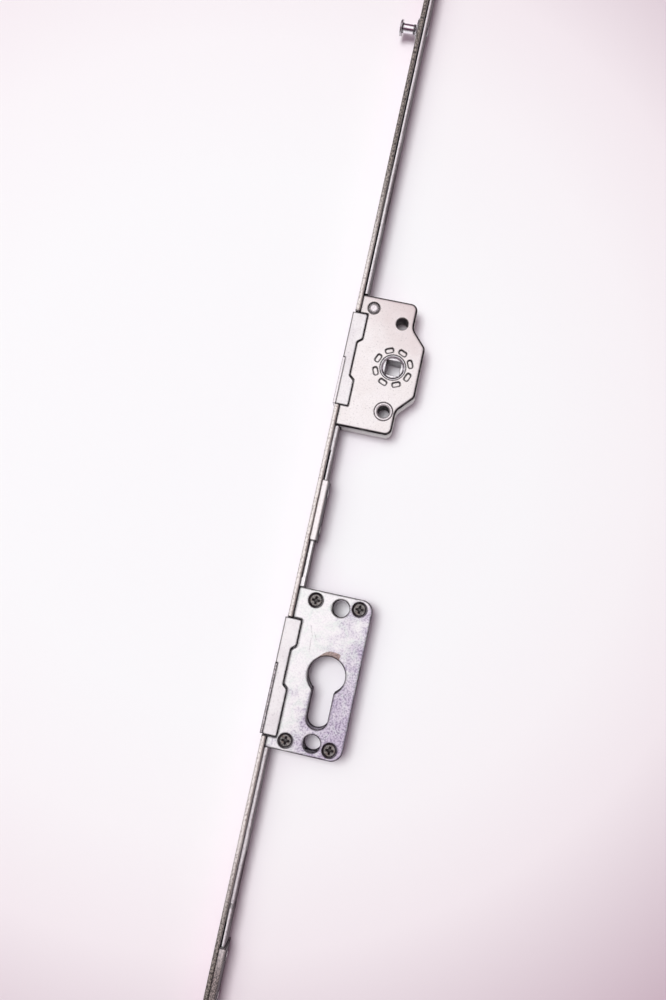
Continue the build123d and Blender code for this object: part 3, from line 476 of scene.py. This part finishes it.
def dress_zinc():
    brownish_corner = ((0.76, 0.665, 0.65), (0.60, 0.80, 0.0), -4 * MM, 38 * MM)
    # Painted shade on the sharp edges, gaps and slopes of the cases and saddles, and a little on
    # the gearbox's upright faces
    dress(zinc_sheet("zinc_warm", (0.97, 0.965, 0.945), (0.935, 0.92, 0.895), 0.45,
                     brownish_corner, wall_shade=0.25, line=1.1 * MM, slopes=1.0),
          "gearbox_cover", "gearbox_case")
    saddle_light, saddle_dark = (0.955, 0.965, 0.955), (0.88, 0.875, 0.88)
    dress(zinc_sheet("zinc_saddle", saddle_light, saddle_dark, 0.45, line=1.3 * MM, slopes=0.9),
          "gearbox_saddle_top", "lock_saddle_top")
    dress(zinc_sheet("zinc_saddle_low", (0.97, 0.96, 0.965), (0.93, 0.915, 0.925), 0.30,
                     line=0.5 * MM),
          "gearbox_saddle_bottom")
    dress(saddle_sheared("zinc_sheared", saddle_light, saddle_dark), "lock_saddle_bottom")
    dress(lock_zinc("zinc_lock"), "lock_cover", "lock_case")


def dress_bars():
    # Painted shade: each bar's back colour is its front face in shade, and the back amount
    # darkens it further; the dark last stops of the faceplate's and the rod's edges are the
    # shade along the gap at their back
    dress(flat_bar("bar_steel", (0.86, 0.84, 0.82), (0.50, 0.48, 0.47),
                   ((-23.0, (0.66, 0.61, 0.55)), (-22.7, (1.0, 1.0, 0.95)),
                    (-21.8, (0.97, 0.95, 0.89)), (-21.2, (0.34, 0.28, 0.25))),
                   dull=((0.15, 0.135, 0.115), ((30, 110), (-215, -285))),
                   torn=1.0, line=1.0 * MM),
          "faceplate")
    dress(flat_bar("rod_steel", (0.60, 0.58, 0.58), (0.22, 0.20, 0.21),
                   ((-20.8, (1.0, 1.0, 1.0)), (-19.8, (1.0, 1.0, 1.0)),
                    (-19.3, (0.34, 0.30, 0.32)), (-18.9, (0.24, 0.20, 0.22))),
                   dull=None, torn=0.3, line=0.5 * MM, wide=(-160, -70, 1.8), back_shade=0.5),
          "drive_rod")
    dress(flat_bar("guide_steel", (0.6, 0.58, 0.57), (0.16, 0.14, 0.15),
                   ((-20.9, (0.84, 0.79, 0.75)), (-20.2, (1.0, 0.97, 0.96)),
                    (-18.7, (1.0, 0.97, 0.96)), (-18.0, (0.80, 0.75, 0.72))),
                   dull=((0.17, 0.145, 0.13), ((-262, -290),)),
                   torn=0.35, line=1.3 * MM, back_shade=0.5),
          "rod_guide_upper", "rod_guide_lower")


def dress_steel():
    dress(turned("rivet_steel", (0.95, 0.92, 0.93), (0.80, 0.77, 0.78), 0.30, metallic=0.5),
          "guide_rivets", "gearbox_rivet", "rack_rivets", "lock_posts", "lock_guide_pins")
    # Painted shade deep in the bushings' bores, from the wide gap width and the darkened upright
    # faces
    dress(turned("bushing_steel", (0.95, 0.92, 0.92), (0.72, 0.69, 0.70), 0.26, metallic=0.7,
                 line=0.9 * MM, crevice=3.0 * MM, wall_shade=0.9),
          "handle_bushing_lower", "handle_bushing_upper")
    dress(turned("cam_steel", (0.90, 0.90, 0.92), (0.78, 0.78, 0.81), 0.08, metallic=1.0),
          "cam_stud", "cam_washer", "cam_roller")
    # Painted shade on the follower's upright faces and in its socket
    dress(turned("hub_metal", (0.86, 0.85, 0.87), (0.62, 0.61, 0.64), 0.16, scale=900,
                 depth=0.006 * MM, metallic=1.0, line=0.5 * MM, crevice=1.3 * MM, wall_shade=0.6),
          "follower")
    dress(turned("slide_steel", (0.58, 0.57, 0.55), (0.40, 0.39, 0.38), 0.34),
          "rack", "lock_slide")
    dress(turned("spring_steel", (0.34, 0.34, 0.36), (0.20, 0.20, 0.22), 0.30),
          "gearbox_detent_spring", "lock_detent_spring")
    dress(dark_screw("screw_dark"), "lock_screws")


def make_floor():
    """Pale paper with a painted pool of light, pinker and darker far from the middle, and a
    painted shadow tint close beside the part.
    """
    z = cad_box[0][2] - FLOOR_GAP
    s = FLOOR_HALF_SIDE
    mesh = bpy.data.meshes.new("floor")
    mesh.from_pydata([(-s, -s, z), (s, -s, z), (s, s, z), (-s, s, z)], [], [(0, 1, 2, 3)])
    floor = bpy.data.objects.new("floor", mesh)
    bpy.context.scene.collection.objects.link(floor)
    t = Tree("floor_paper")
    x, y, _ = t.xyz()
    # Painted pool of light: darker and pinker away from its middle and towards one corner
    dist = t.distance(t.less(x, LIGHT_POOL_MIDDLE[0]), t.less(y, LIGHT_POOL_MIDDLE[1]))
    corner = t.less(t.times(x, 0.40), t.times(y, 0.20))
    colour = t.ramp(t.add(t.times(dist, 1.25), t.times(corner, 0.5)), *LIGHT_POOL_COLOURS)
    # Painted shadow: a pinker tint where the part is near
    close = t.map(t.openness(FLOOR_SHADE_REACH), 0.40, 1.0, 1.0, 0.0)
    colour = t.mix(close, colour, FLOOR_SHADE, "MULTIPLY")
    t.finish(colour, 0.8, t.noise(700, 3, 0.6), 0.01 * MM, 0.0, 0.0)
    mesh.materials.append(t.mat)


def make_world():
    """A broad soft light overhead, a little to the left, and a dim room round it."""
    world = bpy.data.worlds.new("studio")
    bpy.context.scene.world = world
    world.use_nodes = True
    nt = world.node_tree
    nt.nodes.clear()
    out = nt.nodes.new("ShaderNodeOutputWorld")
    bg = nt.nodes.new("ShaderNodeBackground")
    coord = nt.nodes.new("ShaderNodeTexCoord")
    dot = nt.nodes.new("ShaderNodeVectorMath")
    ramp = nt.nodes.new("ShaderNodeValToRGB")
    dot.operation = "DOT_PRODUCT"
    dot.inputs[1].default_value = SKY_AXIS
    fill_ramp(ramp.color_ramp, SKY_COLOURS)
    bg.inputs[1].default_value = 1.0
    nt.links.new(coord.outputs["Generated"], dot.inputs[0])
    nt.links.new(dot.outputs["Value"], ramp.inputs[0])
    nt.links.new(ramp.outputs[0], bg.inputs[0])
    nt.links.new(bg.outputs[0], out.inputs[0])


def make_lamp():
    data = bpy.data.lights.new("key", "AREA")
    data.shape = "DISK"
    data.size = LAMP_DIAMETER
    data.energy = LAMP_WATTS
    data.color = LAMP_COLOUR
    lamp = bpy.data.objects.new("key", data)
    bpy.context.scene.collection.objects.link(lamp)
    lamp.location = LAMP_PLACE
    aim = LAMP_TARGET - lamp.location
    lamp.rotation_euler = aim.to_track_quat("-Z", "Y").to_euler()
    # the soft light that the metal mirrors is already in the world
    lamp.visible_glossy = False


place_camera()
dress_zinc()
dress_bars()
dress_steel()
make_floor()
make_world()
make_lamp()

bpy.context.scene.view_settings.view_transform = "Standard"
